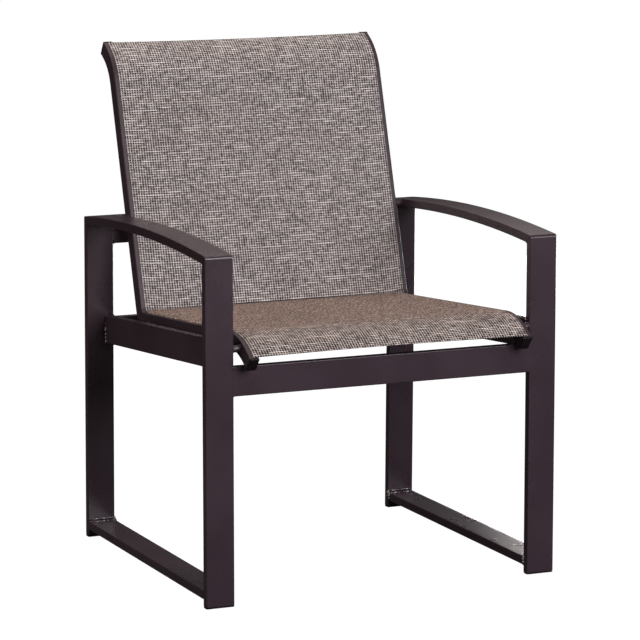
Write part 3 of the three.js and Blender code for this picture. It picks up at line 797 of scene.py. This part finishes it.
# Pinholes lie half a pitch from the yarns' middles, both ways, and are painted dark as the shade seen through the
# open weave; the strength of this painted shade varies from hole to hole and row to row
hole_u = ramp(tree, from_warp, 0.13, 0.30)
hole_v = ramp(tree, from_weft, 0.05, 0.25, 0.44, 1.0)
cell_column, cell_row = (calculate(tree, "FLOOR", place) for place in (column, row))
cell = add_node(tree, "ShaderNodeCombineXYZ", {0: cell_column, 1: cell_row}).outputs[0]
chance = add_node(tree, "ShaderNodeTexWhiteNoise", {"Vector": cell}).outputs[0]
opening = calculate(tree, "MULTIPLY_ADD", chance, opening_range, least_opening)
row_depth = ramp(tree, yarn_tone(cell_row, u, row_run, 2.0), 0.3, 0.7, 0.84, 1.0)
hole = calculate(tree, "MULTIPLY", calculate(tree, "MULTIPLY", hole_u, hole_v),
                 calculate(tree, "MULTIPLY", opening, row_depth))

# The yarns drift in tone, row by row and column by column, and a painted highlight, a pale line, runs along the
# crown of each warp yarn
weft_tone = calculate(tree, "MULTIPLY", yarn_tone(weft_number, u, weft_run, 4.0), weft_share)
tone = calculate(tree, "MULTIPLY_ADD", yarn_tone(warp_number, v, warp_run, 9.0), warp_share, weft_tone)
tone = calculate(tree, "MULTIPLY_ADD", chance, chance_share, tone)
cloth = mix_colours(tree, ramp(tree, tone, 0.16, 0.6), yarn_dark, yarn_mid)
band = ramp(tree, yarn_tone(weft_number, u, band_run, 31.0), 0.60, 0.70, 0.0, 0.3)
cloth = mix_colours(tree, band, cloth, yarn_brown)
# painted highlight along the crown of each warp yarn
cloth = mix_colours(tree, ramp(tree, from_warp, 0.0, 0.22, 0.34, 0.0), cloth, pale_yarn_and_highlight)

# Short pale lengths of weft, and a few long ones, lie over the pinholes
short_slub = ramp(tree, yarn_tone(weft_number, u, slub_run, 17.0), 0.4, 0.68, 0.1, 0.62)
long_slub = ramp(tree, yarn_tone(weft_number, u, long_slub_run, 51.0), 0.59, 0.67, 0.0, 0.8)
slub = calculate(tree, "MULTIPLY", calculate(tree, "MAXIMUM", short_slub, long_slub),
                 ramp(tree, from_weft, 0.06, 0.26, 1.0, 0.0))
# the pinholes' painted shade
cloth = mix_colours(tree, calculate(tree, "MULTIPLY", hole, hole_shade_strength), cloth, pinhole_shade)
cloth = mix_colours(tree, slub, cloth, pale_yarn_and_highlight)
blotch = ramp(tree, noise(tree, spot, blotch_scale), 0.3, 0.7, 0.0, 0.1)
cloth = mix_colours(tree, blotch, cloth, blotch_tint, "MULTIPLY")

# The curl is harder in contrast, with a tone painted to stand in for the light that falls on it, and the seat is
# browner, partly as painted shade, with a fine grain and a painted shadow line in the crease at its fold
contrast = ramp(tree, v, *curl_fade, 1.5, 1.18)
cloth = add_node(tree, "ShaderNodeGamma", {"Color": cloth, "Gamma": contrast}).outputs[0]
# the seat's tint, partly painted shade
on_seat = calculate(tree, "MULTIPLY", ramp(tree, v, *seat_fade), ramp(tree, v, *fold_fade, 1.0, 0.0))
cloth = mix_colours(tree, on_seat, cloth, seat_tint_and_shade, "MULTIPLY")
# the curl's painted tone, standing in for the light that falls on it
cloth = mix_colours(tree, ramp(tree, v, *curl_fade, 1.0, 0.0), cloth, curl_painted_tone, "MULTIPLY")
stretched = add_node(tree, "ShaderNodeVectorMath", {0: spot, 1: grain_scale}, operation="MULTIPLY").outputs[0]
grain = ramp(tree, noise(tree, stretched, 1.0, 0.0), 0.4, 0.6, 0.25, 1.8)
grain = add_node(tree, "ShaderNodeCombineColor", {0: grain, 1: grain, 2: grain}).outputs[0]
cloth = mix_colours(tree, on_seat, cloth, grain, "MULTIPLY")
# The crease: a painted shadow line along the fold, strongest across the middle of the sheet
from_fold = calculate(tree, "ABSOLUTE", calculate(tree, "SUBTRACT", v, fold))
in_middle = ramp(tree, calculate(tree, "ABSOLUTE", u), 0.1, 0.2, 1.0, 0.35)
crease_shadow = calculate(tree, "MULTIPLY", ramp(tree, from_fold, *crease_fade, 0.95, 0.0), in_middle)
cloth = mix_colours(tree, crease_shadow, cloth, pinhole_shade)
tree.links.new(cloth, shader.inputs["Base Color"])
warp_height, weft_height = (
    calculate(tree, "COSINE", calculate(tree, "MULTIPLY", gap, yarn_curve)) for gap in (from_warp, from_weft)
)
relief = calculate(tree, "MAXIMUM", warp_height, weft_height)
relief = calculate(tree, "SUBTRACT", relief, calculate(tree, "MULTIPLY", hole, hole_relief))
weave_bump = add_node(tree, "ShaderNodeBump", {"Strength": 0.5, "Distance": weave_depth, "Height": relief})
tree.links.new(weave_bump.outputs[0], shader.inputs["Normal"])

mesh.materials.append(sling_weave)
sling = bpy.data.objects.new("sling", mesh)
bpy.context.scene.collection.objects.link(sling)
body = sling.modifiers.new("body", "SOLIDIFY")
body.thickness = fabric_thickness
body.offset = 0
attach(sling, "root")
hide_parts("sling_fabric")

# The splines: extruded rods of pale nylon. They are slid into the sling's pockets from the top, once it lies in
# the channels, and lock it there, because with them the pockets no longer fit through the slots.
spline_radius = 0.0022
nylon_scale = 60.0
nylon_deep = (0.64, 0.63, 0.58, 1)
nylon_pale = (0.72, 0.71, 0.67, 1)
pale_nylon, tree, shader = new_finish("pale_nylon", Roughness=0.45)
place = add_node(tree, "ShaderNodeTexCoord").outputs["Object"]
shade = ramp(tree, noise(tree, place, nylon_scale), 0.3, 0.7)
tree.links.new(mix_colours(tree, shade, nylon_deep, nylon_pale), shader.inputs["Base Color"])
for side, sign in sides.items():
    round_section = arc(0, -channel_drop, spline_radius, 0, 2 * pi, 12)[:-1]
    rings = carry(rail_path, sign * rail_x, round_section, rail_marks[1:-1])
    put(f"{side}_spline_rod", [skin(rings)], pale_nylon, [f"{side}_spline"])

# The end caps and the glides: moulded black plastic. A cap closes each end of a sling rail with an eased flange,
# and a glide with a thin flange is pressed into each foot.
cap_thickness = 0.0035
cap_overlap = 0.00025
cap_ease = 0.0009
corner_share = 0.9  # how much of a cap's easing its corners take up
plastic_scale = 25.0
plastic_deep = (0.007, 0.0045, 0.006, 1)
plastic_pale = (0.011, 0.0075, 0.0095, 1)
mould_grain_scale = 900.0
mould_grain_depth = 0.0002

black_plastic, tree, shader = new_finish("black_plastic", Roughness=0.4, IOR=1.46, Specular_IOR_Level=0.3)
place = add_node(tree, "ShaderNodeTexCoord").outputs["Object"]
shade = ramp(tree, noise(tree, place, plastic_scale), 0.3, 0.7)
tree.links.new(mix_colours(tree, shade, plastic_deep, plastic_pale), shader.inputs["Base Color"])
relief = {"Strength": 0.2, "Distance": mould_grain_depth, "Height": noise(tree, place, mould_grain_scale)}
tree.links.new(add_node(tree, "ShaderNodeBump", relief).outputs[0], shader.inputs["Normal"])


def cap_rings(heading, end_y, end_z, out, x):
    """Rings of a cap's flange over a rail's end: a rounded rectangle, drawn in on a quarter circle at its outer
    face."""
    turns = np.linspace(0, pi / 2, 5)
    insets = cap_ease * (1 - np.cos(turns))
    reaches = weld_gap + cap_thickness - cap_ease * (1 - np.sin(turns))
    rings = []
    for inset, reach in [(0, weld_gap), *zip(insets, reaches)]:
        section = flat_section(rail_width + 2 * (cap_overlap - inset), rail_depth + 2 * (cap_overlap - inset),
                               rail_corner + cap_overlap - inset * corner_share)
        u, w = section[:, 0], section[:, 1] - rail_depth / 2
        y = end_y + out * reach * cos(heading) - w * sin(heading)
        z = end_z + out * reach * sin(heading) + w * cos(heading)
        rings.append(np.stack([x + u, y, z], 1))
    return np.stack(rings)


for side, sign in sides.items():
    for place, s, out in (("front", 0.0, -1), ("top", total, 1)):
        y, z, heading = (float(value) for value in rail_path(s))
        rings = cap_rings(heading, y, z, out, sign * rail_x)
        put(f"{side}_{place}_cap_moulding", [skin(rings)], black_plastic, [f"{side}_{place}_cap"])
    for place in ("front", "rear"):
        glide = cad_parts[f"{side}_{place}_glide"]
        glide.data.materials.clear()
        glide.data.materials.append(black_plastic)

# The stage: a plain pale floor and an even white surround, which the camera sees as white paper, and five soft
# lights: one in front to the right, one overhead, a wide one on the left, a weak one behind, which the tops
# mirror, and a low one at the right rear, which lights the chair's back.
bpy.context.scene.view_settings.view_transform = "Standard"
surround_light = 0.03
surround_seen = 1.05
floor_reach = 40
floor_tone = (0.06, 0.06, 0.06, 1)
chair_middle = np.array([0, 0, 0.5])
floor_mesh = bpy.data.meshes.new("floor")
floor_corners = [(x * floor_reach, y * floor_reach, 0) for x, y in ((-1, -1), (1, -1), (1, 1), (-1, 1))]
floor_mesh.from_pydata(floor_corners, [], [(0, 1, 2, 3)])
floor = bpy.data.objects.new("floor", floor_mesh)
bpy.context.scene.collection.objects.link(floor)
white_paper, tree, shader = new_finish("white_paper", Roughness=1.0, Specular_IOR_Level=0.0)
shader.inputs["Base Color"].default_value = floor_tone
shader.inputs["Emission Color"].default_value = (1, 1, 1, 1)
tree.links.new(add_node(tree, "ShaderNodeLightPath").outputs["Is Camera Ray"], shader.inputs["Emission Strength"])
floor_mesh.materials.append(white_paper)

world = bpy.data.worlds.new("studio")
bpy.context.scene.world = world
world.use_nodes = True
tree = world.node_tree
surround = tree.nodes["Background"]
surround.inputs["Color"].default_value = (1, 1, 1, 1)
seen = add_node(tree, "ShaderNodeLightPath").outputs["Is Camera Ray"]
span = {"Value": seen, "To Min": surround_light, "To Max": surround_seen}
tree.links.new(add_node(tree, "ShaderNodeMapRange", span).outputs[0], surround.inputs["Strength"])


def soft_light(name, place, size, power, colour):
    """An area light of a width and a height, turned to face the chair's middle, and out of the camera's sight."""
    light = bpy.data.lights.new(name, "AREA")
    light.shape = "RECTANGLE"
    light.size, light.size_y = size
    light.energy = power
    light.color = colour
    lamp = bpy.data.objects.new(name, light)
    away = np.array(place, float) - chair_middle
    lamp.location = place
    lamp.rotation_euler = (atan2(hypot(away[0], away[1]), away[2]), 0, atan2(away[0], -away[1]))
    lamp.visible_camera = False
    bpy.context.scene.collection.objects.link(lamp)


soft_light("front_light", (0.8, -3.7, 1.9), (2.4, 2.2), 164, (1, 0.96, 1))
soft_light("overhead_light", (-0.2, 0.5, 3.2), (1.8, 1.8), 52, (1, 0.88, 0.80))
soft_light("left_light", (-3.4, -0.3, 1.7), (4.4, 2.6), 58, (1, 0.90, 0.85))
soft_light("back_light", (1.1, 2.0, 2.0), (1.6, 1.6), 6, (1, 0.90, 0.87))
soft_light("low_rear_light", (2.6, 2.2, 0.2), (2.0, 0.36), 95, (1, 0.95, 0.94))

# The camera, where the photograph was taken from: higher than the chair's top, well before it and to its left,
# with a long lens. Its place, its turn and its lens come from the frame's straight edges.
turn_right = 0.4156
look_down = 0.1702
camera_left = 2.394
camera_before = 5.1582  # from the front legs' faces
camera_height = 1.4414
camera_data = bpy.data.cameras.new("camera")
camera_data.lens = 194.36
camera_data.sensor_width = 36
camera = bpy.data.objects.new("camera", camera_data)
camera.location = (-camera_left, front_face - camera_before, camera_height)
camera.rotation_euler = (pi / 2 - look_down, 0, -turn_right)
bpy.context.scene.collection.objects.link(camera)
bpy.context.scene.camera = camera

bpy.context.view_layer.update()
